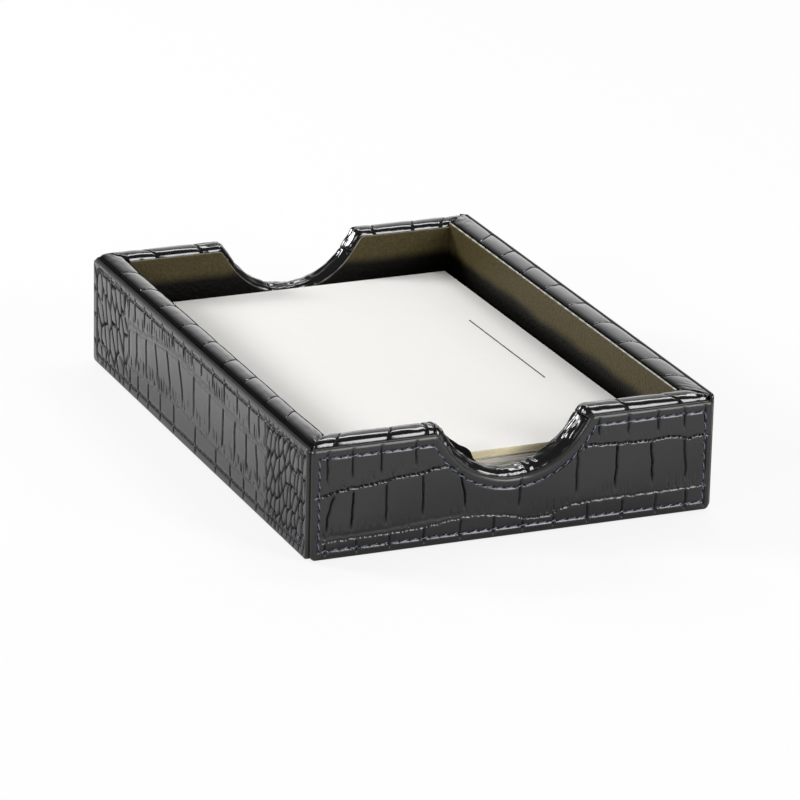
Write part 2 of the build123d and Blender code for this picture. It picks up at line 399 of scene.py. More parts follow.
def crest(part, share, drop, end):
    """The notched top line at a depth below the crown, from the middle of the notch outwards.

    part 0 is the round bottom, an arc of the notch's radius grown by the depth; part 1 the
    straight flank tangent to it; part 2 the shoulder, an arc that shrinks with the depth; part 3
    the level top, as far as end. share is how far along that part the point lies.
    """
    radius = NOTCH_RADIUS + drop
    shoulder = np.maximum(NOTCH_SHOULDER - SHOULDER_TAPER * drop, LEAST_SHOULDER)
    top = CROWN - drop
    foot_s = radius * math.sin(NOTCH_FLANK)
    foot_z = NOTCH_CENTRE - radius * math.cos(NOTCH_FLANK)
    corner = foot_s + (top - foot_z) / math.tan(NOTCH_FLANK)
    reach = shoulder * math.tan(NOTCH_FLANK / 2)
    brow_s = corner - reach * math.cos(NOTCH_FLANK)
    brow_z = top - reach * math.sin(NOTCH_FLANK)
    turn = share * NOTCH_FLANK
    back = (1 - share) * NOTCH_FLANK
    parts = [part == k for k in range(3)]
    s = np.select(parts, [radius * np.sin(turn), foot_s + share * (brow_s - foot_s),
                          corner + reach - shoulder * np.sin(back)],
                  corner + reach + share * (end - corner - reach))
    z = np.select(parts, [NOTCH_CENTRE - radius * np.cos(turn), foot_z + share * (brow_z - foot_z),
                          top - shoulder + shoulder * np.cos(back)], top)
    return s, z


def half_stations(counts):
    """Part numbers and shares along half a notched top line, each part divided evenly."""
    parts = np.concatenate([np.full(n, k) for k, n in enumerate(counts)])
    shares = [np.arange(n) / n for n in counts[:-1]] + [np.linspace(0, 1, counts[-1])]
    return parts, np.concatenate(shares)


def notch_line(drop, end):
    """The notched top line at one depth, from one end of the wall to the other."""
    s, z = crest(*half_stations(LINE_STATIONS), drop, end)
    return np.concatenate([np.stack([-s[:0:-1], z[:0:-1]], -1), np.stack([s, z], -1)])


def closed_sheet(face, back):
    """Points and faces of a sheet: a grid of face points, a wall round its border and a flat back.

    Columns run along the sheet and rows up it, seen from its face. The border is repeated on the
    back, where a strip of quads joins each lower point to the upper one, with a face at each end.
    """
    columns, rows = face.shape[:2]
    grid = np.arange(columns * rows).reshape(columns, rows)
    ring = np.concatenate([grid[:-1, 0], grid[-1, :-1], grid[:0:-1, -1], grid[0, :0:-1]])
    tail = columns * rows + np.arange(len(ring))
    rear = np.zeros(columns * rows, int)
    rear[ring] = tail
    low, high = rear[grid[:, 0]], rear[grid[:, -1]]
    quads = np.stack([grid[:-1, :-1], grid[1:, :-1], grid[1:, 1:], grid[:-1, 1:]], -1)
    walls = np.stack([ring, tail, np.roll(tail, -1), np.roll(ring, -1)], -1)
    strip = np.stack([low[2:-1], low[1:-2], high[1:-2], high[2:-1]], -1)
    ends = np.stack([np.concatenate([rear[grid[0]], [high[1], low[1]]]),
                     np.concatenate([rear[grid[-1, ::-1]], [low[-2], high[-2]]])])
    points = np.concatenate([face.reshape(-1, 3), back.reshape(-1, 3)[ring]])
    return points, [quads.reshape(-1, 4), walls, strip, ends], ring


def sheet_grid(half, foot, top_line, corner, edge, spacing, stretch):
    """Grid over an upright sheet with eased corners: columns along it, rows from foot to top line.

    Both ways the points crowd over the rounded edge, at its width times one less the cosine of
    even turns, and are evenly spaced between, upwards by the spacing times the stretch.
    """
    rim = edge * (1 - np.cos(np.radians([0, 20, 40, 58, 75])))
    level = np.linspace(edge - half, half - edge, int(2 * half / spacing))
    s = np.concatenate([rim - half, level, (half - rim)[::-1]])
    past = np.clip(np.abs(s) - half + corner, 0, corner)
    rise = corner - np.sqrt(np.maximum(corner ** 2 - past ** 2, 0))
    low = (foot + rise)[:, None]
    high = (np.interp(s, *top_line.T) - rise)[:, None]
    middle = np.linspace(0, 1, int((top_line[:, 1].max() - foot) / (spacing * stretch)))
    z = np.concatenate([low + rim, low + edge + (high - low - 2 * edge) * middle,
                        high - rim[::-1]], 1)
    return np.broadcast_to(s[:, None], z.shape), z


def from_edge(s, z, half, foot, top, corner, top_line):
    """Distance of each point of an upright sheet from its edge, and from its top edge alone: those
    of a rounded rectangle, or of the top line within its ends where this is nearer."""
    over_s = np.abs(s) - half + corner
    over_z = np.abs(z - (foot + top) / 2) - (top - foot) / 2 + corner
    outside = np.hypot(np.maximum(over_s, 0), np.maximum(over_z, 0))
    inside = corner - outside - np.minimum(np.maximum(over_s, over_z), 0)
    notch = gap_to(s, z, top_line[1:-1])[0]
    return np.maximum(np.minimum(inside, notch), 0), np.maximum(np.minimum(top - z, notch), 0)


def upright_sheet(wall, half, foot, top, corner, edge, spacing, stretch=1):
    """Grid over a sheet of a wall: each point's place along and up the wall, and its distances
    from the sheet's edge and from its top edge."""
    if wall.notched:
        top_line = notch_line(CROWN - top, half)
    else:
        top_line = np.array([(-half, top), (0, top), (half, top)])
    s, z = sheet_grid(half, foot, top_line, corner, edge, spacing, stretch)
    return s, z, *from_edge(s, z, half, foot, top, corner, top_line)


def roll_off(inside, width, depth):
    """Fall of a rounded edge: a quarter of an ellipse over the width, nought beyond it."""
    return depth * (1 - np.sqrt(np.maximum(1 - (1 - np.clip(inside / width, 0, 1)) ** 2, 0)))


# Embossing


def cells(a, b, seed, lattice=32, jitter=0.36):
    """Distance to the nearest border between the cells of a jittered unit lattice, in lattice
    units: half the difference between the two least distances to the cells' seeds."""
    table = np.random.default_rng(seed).uniform(-jitter, jitter, (lattice, lattice, 2))
    column, row = np.floor(a).astype(int), np.floor(b).astype(int)
    first = np.full(a.shape, np.inf)
    second = np.full(a.shape, np.inf)
    for i in (-1, 0, 1):
        for j in (-1, 0, 1):
            seeds = table[(column + i) % lattice, (row + j) % lattice]
            offset = 0.25 + 0.5 * ((row + j) % 2)
            gap = np.hypot(column + i + offset + seeds[..., 0] - a,
                           row + j + 0.5 + seeds[..., 1] - b)
            second = np.minimum(second, np.maximum(first, gap))
            first = np.minimum(first, gap)
    return (second - first) / 2


def ends_and_bow(mark):
    """Upper end, lower end and bow of a line across a row, which may be given as one place."""
    return mark if isinstance(mark, tuple) else (mark, mark, 0)


def pattern_for(wall):
    """The pattern of a wall, mirrored on the two walls that face away."""
    plan = END_PATTERN if wall.notched else SIDE_PATTERN
    if wall.name not in FACING_AWAY:
        return plan
    turned = dict(plan, lip=-plan["lip"])
    turned["pebbled"] = [(-begins, *size, -lean) for begins, *size, lean in plan["pebbled"]]
    for key in ("long", "soft"):
        turned[key] = [([(-a, b) for a, b in reversed(line)], share) for line, share in plan[key]]
    for key in ("upper", "lower"):
        turned[key] = [(-a, b) for a, b in reversed(plan[key])]
    for key in ROWS:
        turned[key] = [tuple(-v for v in ends_and_bow(mark)) for mark in plan[key]]
    return turned


def long_line(s, z, line, seed, step=0.5, easings=4, wander=0.12, wave=3.4, tip=1.5):
    """Distance of each point from a wavy line along a wall, and its fade at the line's tips."""
    line = np.array(line)
    start, stop = line[0, 0], line[-1, 0]
    run = np.arange(start, stop + step, step)
    rise = np.interp(run, *line.T)
    for _ in range(easings):
        rise[1:-1] = (rise[:-2] + 2 * rise[1:-1] + rise[2:]) / 4
    rise = rise + wander * ripple(run, wave, seed)
    steep = np.interp(s, run, np.gradient(rise, run))
    gap = np.abs(z - np.interp(s, run, rise)) / np.hypot(1, steep)
    return gap, smooth(0, tip, s - start) * smooth(0, tip, stop - s)


def cross_line(s, z, mark, head, foot, seed, wander=0.08, wave=7, past=0.1, tip=1.2, tail=0.3):
    """Distance of each point to the right of a bowed line across a row, and its fade at the tip
    and over the tail, a share of the line's height."""
    high_s, low_s, bow = mark
    tall, across = head - foot, high_s - low_s
    up = (z - foot) / tall
    spot = low_s + across * up + 4 * bow * up * (1 - up) + wander * ripple(z, wave, seed)
    fade = smooth(-past, tail * tall, z - foot) * smooth(-past, tip, head - z)
    return (s - spot) / math.hypot(1, across / tall), fade


def embossing(s, z, pattern, width, seed, reach=5, lip_at=0.85, lip_width=0.42, wrinkle=1.7):
    """Embossed crocodile lines, as shares of the fine valleys, of the broad hollows and the lips.

    Each line is a valley, the bell curve of the distance from it, with a broad hollow that leaves
    the scales swelled and, across a row, a raised lip on one side. Long lines are beaded.
    """
    fine, broad, lip = (np.zeros(s.shape) for _ in range(3))
    calm = np.ones(s.shape)
    for begins, *_ in pattern["pebbled"]:
        calm = np.minimum(calm, smooth(-1.5, 2.5, (s - begins) * np.sign(-begins)))
    bead = np.clip(0.66 + 0.3 * ripple(s, 1.15, seed + 2), 0.15, 1)
    for key, form, spread in (("long", bead, 0.85), ("soft", 1, 2.2)):
        for line, share in pattern[key]:
            gap, fade = long_line(s, z, line, seed + 1)
            fade = share * fade * calm
            fine = np.maximum(fine, form * fade * bell(gap, spread * width))
            broad = np.maximum(broad, fade * np.exp(-gap / 1.1))
    upper, lower = np.array(pattern["upper"]), np.array(pattern["lower"])
    draw = np.random.default_rng(seed)
    for row in ROWS:
        for mark in map(ends_and_bow, pattern[row]):
            middle = (mark[0] + mark[1]) / 2
            roof, sill = np.interp(middle, *upper.T), np.interp(middle, *lower.T)
            head, foot = {"top": (CROWN, roof + 1.1), "main": (roof - 0.2, sill + 1.0),
                          "foot": (sill - 0.1, PANEL_FOOT - 2)}[row]
            near = np.abs(s[:, 0] - middle) < reach
            off, fade = cross_line(s[near], z[near], mark, head, foot, int(draw.integers(1 << 30)))
            fade = fade * calm[near] * pattern["cut"][row] * draw.uniform(0.82, 1.0)
            fine[near] = np.maximum(fine[near], fade * bell(off, width))
            broad[near] = np.maximum(broad[near], fade * np.exp(-np.abs(off)))
            turned = middle * pattern["lip"] <= -pattern["lip_turns"]
            place = lip_at * pattern["lip"] * (-1 if turned else 1)
            lip[near] = np.maximum(lip[near], fade * bell(off - place, lip_width))
    for begins, wide, tall, lean in pattern["pebbled"]:
        border = wide * cells((s + lean * z) / wide + 40, z / tall + 40, seed + 3)
        share = smooth(-2.0, 2.0, (s - begins) * np.sign(begins))
        fine = np.maximum(fine, 0.85 * share * bell(border, 0.75 * width))
        broad = np.maximum(broad, share * np.exp(-border / 0.9))
    for number, base in enumerate((upper, lower)):
        height = z - np.interp(s, *base.T)
        near_base = smooth(0.3, 1.1, height) * (1 - smooth(2.5, 6.5, height))
        fold = np.clip(crumple(s + 0.06 * z, 0.2 * z, wrinkle, seed + 5 + number) - 0.45, 0, 1)
        fine = np.maximum(fine, pattern["streak"] * calm * near_base * fold)
    return fine, broad, lip


def embossed_panel(wall, sizes, seed, corner=1.5, spare=0.15, most_embossed=0.72, most_sunk=0.78,
                   groove_width=0.5, hole_width=0.32, hole_depth=0.6, slope=0.35):
    """Leather panel of a wall: the face level less the embossing, the swell, the sewing groove and
    the rolled edge, on a grid over the panel's outline."""
    make = END_PANEL if wall.notched else SIDE_PANEL
    # The left wall's smaller share of olive dressing darkens its edge: painted shade
    edge, dressed = sizes.edge_round / MM, EDGE_DRESSING_AND_SHADE[wall.name]
    s, z, inside, below_top = upright_sheet(wall, wall.panel_half, PANEL_FOOT, wall.panel_top,
                                            corner, edge, sizes.spacing / MM, make.stretch)
    fine, broad, lip = embossing(s, z, pattern_for(wall), sizes.crease_width / MM, seed)
    open_face = smooth(0.3, 2.2, inside)
    groove, holes = np.zeros(s.shape), np.zeros(s.shape)
    for run in sewing_runs(wall):
        gap, along = gap_to(s, z, run)
        bite = (0.5 + 0.5 * np.cos(2 * np.pi * along / even_pitch(run, sizes))) ** 4
        groove = np.maximum(groove, make.groove * bell(gap, groove_width))
        holes = np.maximum(holes, 0.8 * bite * bell(gap, hole_width))
    sink = np.maximum(fine * sizes.crease_depth / MM, groove) + broad * sizes.swell / MM
    sink = np.maximum(sink - make.lip * lip * (1 - fine), hole_depth * holes)
    roll = np.maximum(roll_off(inside, 0.55 * edge, 0.55), roll_off(below_top, edge, 0.7))
    sunk = np.minimum(open_face * np.minimum(sink, most_embossed) + roll, most_sunk)
    face = stand(wall, s, wall.panel_out - spare - sunk, z)
    rear = z - slope * dressed * (1 - smooth(0, SLOPE_OVER, below_top))
    points, faces, ring = closed_sheet(face, stand(wall, s, wall.panel_out - PANEL_LEATHER, rear))
    crease = np.maximum(fine, holes) * open_face
    rim = dressed * (1 - smooth(0.35 * edge, 0.9 * edge, below_top))
    layers = {key: np.concatenate([values.ravel(), values.ravel()[ring]])
              for key, values in (("crease", crease), ("edge", rim))}
    # Faces along the deepest lines and stitch holes take the duller finishes, whose darker colour
    # is painted shade
    mean = (crease[:-1, :-1] + crease[1:, :-1] + crease[1:, 1:] + crease[:-1, 1:]) / 4
    picks = np.zeros(sum(len(f) for f in faces), int)
    picks[:mean.size] = np.digitize(mean, DULL_AND_SHADED_FROM).ravel()
    return points, faces, layers, picks


def lining_sheet(wall, edge=0.55, fall=0.5, spare=0.06, slope=0.5, corner=0.05, spacing=0.8):
    """Lining of a wall: a smooth upright sheet with a gentle wave, whose top edge is turned over
    in a narrow bead that falls away behind."""
    inner, top = wall.lining_in, wall.lining_top - LINING_TRIM.get(wall.name, 0)
    s, z, inside, below_top = upright_sheet(wall, wall.lining_half, LINING_FOOT, top, corner, edge,
                                            spacing)
    wave = 0.05 * crumple(s, z, 22, 11) * smooth(0.3, 3, inside)
    level = inner + spare + np.maximum(wave, -spare) + roll_off(below_top, edge, fall)
    rear = z - slope * (1 - smooth(0, SLOPE_OVER, below_top))
    back = stand(wall, s, inner + LINING_LEATHER, rear)
    points, faces, ring = closed_sheet(stand(wall, s, level, z)[::-1], back[::-1])
    # Partly painted highlight: the pale edge's share per wall stands in for light catching the bead
    pale_and_gleam = EDGE_PALE_AND_GLEAM[wall.name] * np.clip(0.75 + 0.3 * ripple(s, 3.5, 41), 0.2, 1)
    shows = (pale_and_gleam * (1 - smooth(0.12, 0.3, below_top)))[::-1].ravel()
    return points, faces, {"edge": np.concatenate([shows, shows[ring]])}


# Rims


def curve(knots, steps):
    """Smooth line through knots: cubic spans that lean on the neighbours, each divided evenly."""
    knots = np.concatenate([[2 * knots[0] - knots[1]], knots, [2 * knots[-1] - knots[-2]]])
    a, b, c, d = (knots[k:len(knots) - 3 + k, None, :] for k in range(4))
    t = (np.arange(steps) / steps)[None, :, None]
    spans = b + (t * (c - a) + t ** 2 * (2 * a - 5 * b + 4 * c - d) +
                 t ** 3 * (3 * b - a - 3 * c + d)) / 2
    return np.concatenate([spans.reshape(-1, 2), knots[-2:-1]])


def rim_profile(out, fill, fill_to=3, leg=8.0, under=0.8, bevel=0.95, steps=3):
    """Section of a rim, from the outer leg over the crown to the inner leg and back inside.

    Each point has its depth below the crown, its distance out from the tray's middle and the share
    of its normal that faces out and up. The inside has none, so it stays put. fill is how far the
    outer roll is filled up towards the crown, down to the depth fill_to.
    """
    inner, eased = out - BOARD, under + bevel
    outer_side = [(out + past, drop * (1 - fill) if drop < fill_to else drop)
                  for past, drop in RIM_ROLL]
    inner_side = [(inner - past, drop) for past, drop in reversed(RIM_ROLL)]
    line = curve(np.array(outer_side + [((out + inner) / 2, 0.0)] + inner_side), steps)
    slope = np.gradient(line, axis=0)
    slope = slope / np.hypot(*slope.T)[:, None]
    hollow = np.array([(leg, inner + under), (eased, inner + under), (under, inner + eased),
                       (under, out - eased), (eased, out - under), (leg, out - under)])
    quiet = np.zeros(len(hollow))
    return (np.concatenate([np.maximum(line[:, 1], 0), hollow[:, 0]]),
            np.concatenate([line[:, 0], hollow[:, 1]]),
            np.concatenate([-slope[:, 1], quiet]), np.concatenate([-slope[:, 0], quiet]))


def notch_leather(name, sink, walked, across, in_notch, seed, width=0.36, fade=4, sway=0.3):
    """Sink of a rim with the leather of its notch: ripples along it, crumples, puckers in patches
    and sharp folds, each the bell curve of the distance across from its own line."""
    sink = sink + 0.07 * in_notch * ripple(across + 0.08 * walked, 2.6, seed + 22)
    sink = sink + 0.09 * in_notch * crumple(0.55 * walked, across, 3.2, seed + 23)
    for middle, reach, height in NOTCH_PUCKERS[name]:
        puckers = crumple(walked, 0.7 * across, 2.4, seed + 24)
        sink = sink + height * bell(walked - middle, reach) * puckers
    for start, stop, first, last, height in NOTCH_RIDGES[name]:
        wander = sway * ripple(walked, 9, seed + int(10 * height))
        middle = np.interp(walked, (start, stop), (first, last)) + wander
        shown = smooth(start, start + fade, walked) * smooth(stop, stop - fade, walked)
        sink = sink - height * shown * bell(across - middle, width)
    return sink


def rolled_rim(wall, sizes, seed, fold_slant=0.15, sway=0.22, cut_width=0.26, steep=2.0, easy=3.6,
               lap=0.03, joint=0.42, joint_width=0.4, most=0.68, lean_fade=14.0, corner=1.5):
    """Leather rim of a wall: its section carried along the top line, sunk along its normal by the
    creases across it, the folds in the notch, the mitres at its ends and a fine crumple."""
    drop, where, faces_out, faces_up = rim_profile(wall.out, RIM_FILL.get(wall.name, 0))
    if wall.notched:
        parts, shares = half_stations(RIM_STATIONS)
    else:
        parts, shares = np.full(PLAIN_STATIONS, 3), np.linspace(0, 1, PLAIN_STATIONS)
    side = np.concatenate([-np.ones(len(parts) - 1), np.ones(len(parts))])[:, None]
    parts = np.concatenate([parts[:0:-1], parts])[:, None]
    shares = np.concatenate([shares[:0:-1], shares])[:, None]

    def top_line(depth, end):
        """The rim's line at a depth below the crown, from one end of the wall to the other."""
        if wall.notched:
            s, z = crest(parts, shares, depth, end)
            return side * s, z
        return side * shares * end, CROWN - depth

    plain_s, plain_z = top_line(np.zeros(side.shape), wall.half)
    walked = walk(np.concatenate([plain_s, plain_z], 1))[:, None]
    walked = walked - walked[len(walked) // 2]
    across = (where - wall.out + BOARD / 2)[None, :]
    loud = np.hypot(faces_out, faces_up)[None, :]
    marks = [(np.interp(place, plain_s[:, 0], walked[:, 0]), slant)
             for place, slant in RIM_CREASES[wall.name]]
    marks += [(place, fold_slant) for place in NOTCH_FOLDS.get(wall.name, [])]
    steep_side = -1 if wall.name == "right" else 1
    sink = np.zeros((len(walked), len(drop)))
    crease = np.zeros(sink.shape)
    for number, (place, slant) in enumerate(marks):
        bend = sway * ripple(across, 5, seed + number)
        gap = (walked - place - slant * across - bend) * steep_side
        puff = np.exp(-np.abs(gap) / np.where(gap > 0, steep, easy))
        cut = bell(gap, cut_width)
        sink = np.maximum(sink, sizes.rim_puff / MM * puff + sizes.rim_crease / MM * cut)
        crease = np.maximum(crease, cut)
    end = (wall.half - np.maximum(wall.out - where, lap))[None, :]
    from_mitre = np.maximum(end - np.abs(top_line(drop[None, :], end)[0]), 0) / math.sqrt(2)
    drawn = 0.1 * np.exp(-from_mitre / 3.0)
    sink = np.maximum(sink, joint * bell(from_mitre, joint_width) + drawn)
    sink = sink + 0.012 * crumple(walked, 1.6 * across, 7, seed + 20)
    sink = sink + drawn * np.maximum(crumple(walked, 1.6 * across, 3.6, seed + 21), -0.6)
    sink = np.clip(sink, 0, most)
    if wall.notched:
        sink = notch_leather(wall.name, sink, walked, across, smooth(34, 22, np.abs(plain_s)), seed)
        sink = np.maximum(sink, np.minimum(plain_z - CROWN + 0.1, 0))
    gathered = np.zeros(walked.shape)
    for start, stop, height in NOTCH_GATHERS.get(wall.name, []):
        gathered += height * smooth(start, stop - 4, walked) * smooth(stop, stop - 3, walked)
    sink = sink * loud
    inward = smooth(2.0, -2.4, across) * smooth(4.5, 1.5, drop[None, :]) * loud
    lean = RIM_LEAN.get(wall.name, 0) * smooth(0, lean_fade, from_mitre) * loud
    depth = drop + sink * faces_up - gathered * inward + lean * (BOARD / 2 - across)
    s, z = top_line(depth, end)
    turned = np.clip(np.abs(s) - wall.half + corner, 0, 1.3)
    ease = corner - np.sqrt(corner ** 2 - turned ** 2)
    out = where - sink * faces_out - ease * np.clip((where - wall.out) / 2.4 + 1, 0, 1) * loud
    points = stand(wall, s, out, np.minimum(z, CROWN))
    grid = np.arange(points[..., 0].size).reshape(points.shape[:2])
    turn = np.roll(grid, -1, 1)
    quads = np.stack([grid[:-1], grid[1:], turn[1:], turn[:-1]], -1).reshape(-1, 4)
    ends = np.stack([grid[0], grid[-1, ::-1]])
    crease = crease * loud
    mean = (crease[:-1] + crease[1:]) / 2
    # Faces in the creases across the rim take the duller finishes, whose darker colour is painted
    # shade
    dull = np.digitize((mean + np.roll(mean, -1, 1)) / 2, DULL_AND_SHADED_FROM)
    bare_shade_out, bare_shade_in = RIM_BARE_AND_SHADE_FROM[wall.name]
    # Painted shade: the left rim's sides and the right rim's inner side go dark where shade falls
    dull[:, ((across > 0) & (drop > bare_shade_out) | (across < 0) & (drop > bare_shade_in))[0]] = BARE_AND_SHADED
    # Painted shade: the flap gathered in the front notch is made dark
    dull[(gathered[1:] > 0.5) & (across < 1.2) & (drop < 4)] = BARE_AND_SHADED
    picks = np.concatenate([dull.ravel(), [0, 0]])
    return points.reshape(-1, 3), [quads, ends], {"crease": crease.ravel()}, picks


# Sewing


def sewing_runs(wall):
    """Straight and curved runs of the sewing, from corner to corner round the panel."""
    make = END_PANEL if wall.notched else SIDE_PANEL
    half = wall.panel_half - make.at_ends
    foot, top = PANEL_FOOT + make.at_foot, wall.panel_top - make.at_top
    corners = np.array([(-half, foot), (half, foot), (half, top), (-half, top)])
    runs = [corners[0:2], corners[1:3]]
    if not wall.notched:
        return runs + [corners[2:4], corners[[3, 0]]]
    line = notch_line(CROWN - top, half)
    level = np.flatnonzero(line[:, 1] > top - 0.02)
    middle = len(line) // 2
    left, right = level[level < middle].max(), level[level > middle].min()
    return runs + [np.array([corners[2], line[right]]), line[left:right + 1][::-1],
                   np.array([line[left], corners[3]]), corners[[3, 0]]]


def even_pitch(run, sizes):
    """Stitch length that divides a run evenly, nearest to the pitch."""
    whole = walk(run)[-1]
    return whole / max(round(whole / (sizes.stitch_pitch / MM)), 1)


def stitches(wall, sizes, rings=11, sides=6, share=0.45, dive=0.55, peak=0.12, flat=0.16):
    """Stitches of a panel: each a short tube, slanted across the seam and steepest at its ends,
    which dive into the leather, with an oval section that turns along it like twisted thread."""
    pitch, thick = sizes.stitch_pitch / MM, sizes.thread / MM
    spots, ways = [], []
    for run in sewing_runs(wall):
        walked = walk(run)
        count = int(round(walked[-1] / even_pitch(run, sizes)))
        at = (np.arange(count) + 0.5) * walked[-1] / count
        here, ahead, behind = (np.stack([np.interp(at + d, walked, run[:, k]) for k in (0, 1)], -1)
                               for d in (0, 0.4, -0.4))
        spots.append(here)
        ways.append((ahead - behind) / np.hypot(*(ahead - behind).T)[:, None])
    spot, way = np.concatenate(spots), np.concatenate(ways)
    draw = np.random.default_rng(17 + len(spot))
    swing = 0.5 * draw.uniform(0.75, 1.2, len(spot))[:, None, None]
    place = np.linspace(-1, 1, rings)[None, :, None]
    angle = (np.arange(sides) * 2 * np.pi / sides)[None, None, :]
    twist = 2.6 * place + draw.uniform(0, np.pi, len(spot))[:, None, None]
    radius = thick / 2 * (1 - 0.4 * np.abs(place) ** 3)
    oval = radius * (1 + flat * np.cos(2 * (angle - twist))) / (1 + flat)
    aside = swing * (0.35 * place + 0.65 * place * np.abs(place)) + oval * np.cos(angle)
    bed = END_PANEL.bed if wall.notched else SIDE_PANEL.bed
    height = -bed - thick / 2 - dive * np.abs(place - peak) ** 2.4 + oval * np.sin(angle)
    run, aside, height = np.broadcast_arrays(share * pitch * place, aside, height)
    normal = np.stack([-way[:, 1], way[:, 0]], -1)
    seam = (spot[:, None, None, :] + run[..., None] * way[:, None, None, :] +
            aside[..., None] * normal[:, None, None, :])
    points = stand(wall, seam[..., 0], wall.panel_out + height, seam[..., 1]).reshape(-1, 3)
    grid = np.arange(len(points)).reshape(len(spot), rings, sides)
    turn = np.roll(grid, -1, 2)
    quads = np.stack([grid[:, :-1], grid[:, 1:], turn[:, 1:], turn[:, :-1]], -1).reshape(-1, 4)
    caps = np.concatenate([grid[:, 0], grid[:, -1, ::-1]])
    return points, [quads[:, ::-1], caps[:, ::-1]]


# Note sheets


def boxes(flat, low, high):
    """Points and faces of flat boxes, from the four corners of each outline and its two levels."""
    count = len(flat)
    level = np.broadcast_to(np.stack([low, high], -1)[:, :, None, None], (count, 2, 4, 1))
    points = np.concatenate([np.broadcast_to(flat[:, None], (count, 2, 4, 2)), level], -1)
    box = np.array([(3, 2, 1, 0), (4, 5, 6, 7), (0, 1, 5, 4), (1, 2, 6, 5), (2, 3, 7, 6),
                    (3, 0, 4, 7)])
    return points.reshape(-1, 3), [(8 * np.arange(count)[:, None, None] + box).reshape(-1, 4)]


def sheet_pile(foot, top, count, turn, short, fill=0.93, shift=0.16, skew=0.035, spare=0.22,
               pulled=(0.2, 2.6)):
    """A pile of sheets: each a thin box, shifted and turned a little, its corners computed at once.
    The topmost sheets that are short are pulled back at the front, more at the right."""
    draw = np.random.default_rng(31 + count)
    pitch = (top - foot) / count
    low = foot + pitch * np.arange(count)
    high = low + fill * pitch
    high[-1] = top
    shifts = draw.uniform(-shift, shift, (count, 2))
    angle = np.radians(turn + draw.normal(0, skew, count))
    unit = np.array([(-1, -1), (1, -1), (1, 1), (-1, 1)], float)
    corners = np.tile(unit * (np.array(SHEET_HALF) - spare), (count, 1, 1))
    corners[count - short:, :2, 1] += pulled
    spin = np.stack([np.cos(angle), -np.sin(angle), np.sin(angle), np.cos(angle)], -1)
    flat = np.einsum("nij,nkj->nki", spin.reshape(-1, 2, 2), corners) + shifts[:, None, :]
    shade = np.repeat(draw.uniform(0, 1, count), 8)
    return *boxes(flat, low, high), {"shade": shade}, np.tile([0, 0, 1, 1, 1, 1], count)


def printed_rule(top, x0=38.2, x1=38.7, y0=-25.6, y1=29.9, thickness=0.05):
    """A thin flat bar of ink along the right of the top sheet."""
    c, s = math.cos(math.radians(SHEET_TURN)), math.sin(math.radians(SHEET_TURN))
    flat = np.array([(x0, y0), (x1, y0), (x1, y1), (x0, y1)]) @ np.array([(c, s), (-s, c)])
    return boxes(flat[None], np.array([top - thickness]), np.array([top]))


# Materials

# Distance between the threads of a weave of scale one
BAND = math.pi / 10


def add(tree, kind, inputs, out=0, **settings):
    """Adds a node and gives one of its outputs: settings are the node's properties, inputs its
    sockets' values or the outputs that they link to."""
    made = tree.nodes.new("ShaderNode" + kind)
    for key, value in settings.items():
        setattr(made, key, value)
    for key, value in inputs.items():
        if isinstance(value, bpy.types.NodeSocket):
            tree.links.new(value, made.inputs[key])
        else:
            made.inputs[key].default_value = value
    return made.outputs[out] if made.outputs else None


def rgba(values, share=1.0):
    """A share of a colour, opaque."""
    return (*(share * v for v in values), 1.0)


def per_metre(millimetres):
    """Texture scale of a pattern whose features are this far apart."""
    return 1 / (millimetres * MM)


def empty_tree(owner):
    """The node tree of a material or a world, cleared."""
    owner.use_nodes = True
    owner.node_tree.nodes.clear()
    return owner.node_tree


def start_material(name):
    """A new material, its empty tree and the object's own coordinates."""
    made = bpy.data.materials.new(name)
    tree = empty_tree(made)
    return made, tree, add(tree, "TexCoord", {}, "Object")


def surfaced(made, inputs):
    """Ends a material with its shader, whose sockets take the given values and links."""
    shader = add(made.node_tree, "BsdfPrincipled", inputs)
    add(made.node_tree, "OutputMaterial", {"Surface": shader})
    return made


def mottled(name, colour, blot, detail, dark, light, inputs):
    """A material whose colour drifts between two shares of itself, in blots of one size."""
    made, tree, place = start_material(name)
    blots = add(tree, "TexNoise", {"Vector": place, "Scale": per_metre(blot), "Detail": detail})
    tone = add(tree, "Mix", {0: blots, 6: rgba(colour, dark), 7: rgba(colour, light)}, 2,
               data_type="RGBA")
    return surfaced(made, {"Base Color": tone, **inputs})


